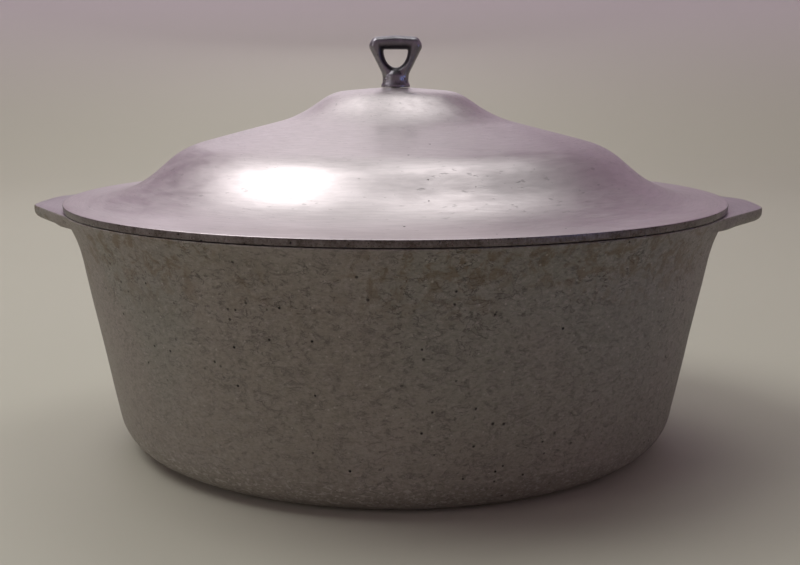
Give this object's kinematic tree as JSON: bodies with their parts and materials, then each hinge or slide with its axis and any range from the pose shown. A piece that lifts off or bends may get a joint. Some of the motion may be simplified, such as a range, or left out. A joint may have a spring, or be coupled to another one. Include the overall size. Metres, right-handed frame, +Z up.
{
  "type": "covered cooking pot",
  "caption": "Round covered pot: a flared pan with flat tab handles at its rim and a stepped dome lid lifted by a loop knob, for roasting and braising.",
  "frame": {"origin": "centre of the pan's flat underside, on the axis of the round pan", "axes": "+X through the tab handles, +Y away from the viewer of the front, +Z up along the lift of the lid"},
  "size_m": [0.332, 0.3, 0.1842],
  "materials": {
    "pan_cast": "as-cast, matt, darkened by use",
    "lid_brushed": "turned and brushed satin",
    "knob_polished": "polished",
    "screw_steel": "plain machined",
    "washer_steel": "plain stamped",
    "lock_washer_steel": "tempered spring steel"
  },
  "bodies": {
    "pan": {"pan": "pan_cast"},
    "lid": {"lid": "lid_brushed", "knob": "knob_polished", "knob_screw": "screw_steel", "screw_washer": "washer_steel", "screw_lock_washer": "lock_washer_steel"}
  },
  "joints": [
    {"name": "lid_lift", "type": "slide", "parent": "pan", "child": "lid", "axis": [0, 0, 1], "range_m": [0, 0.15]}
  ]
}
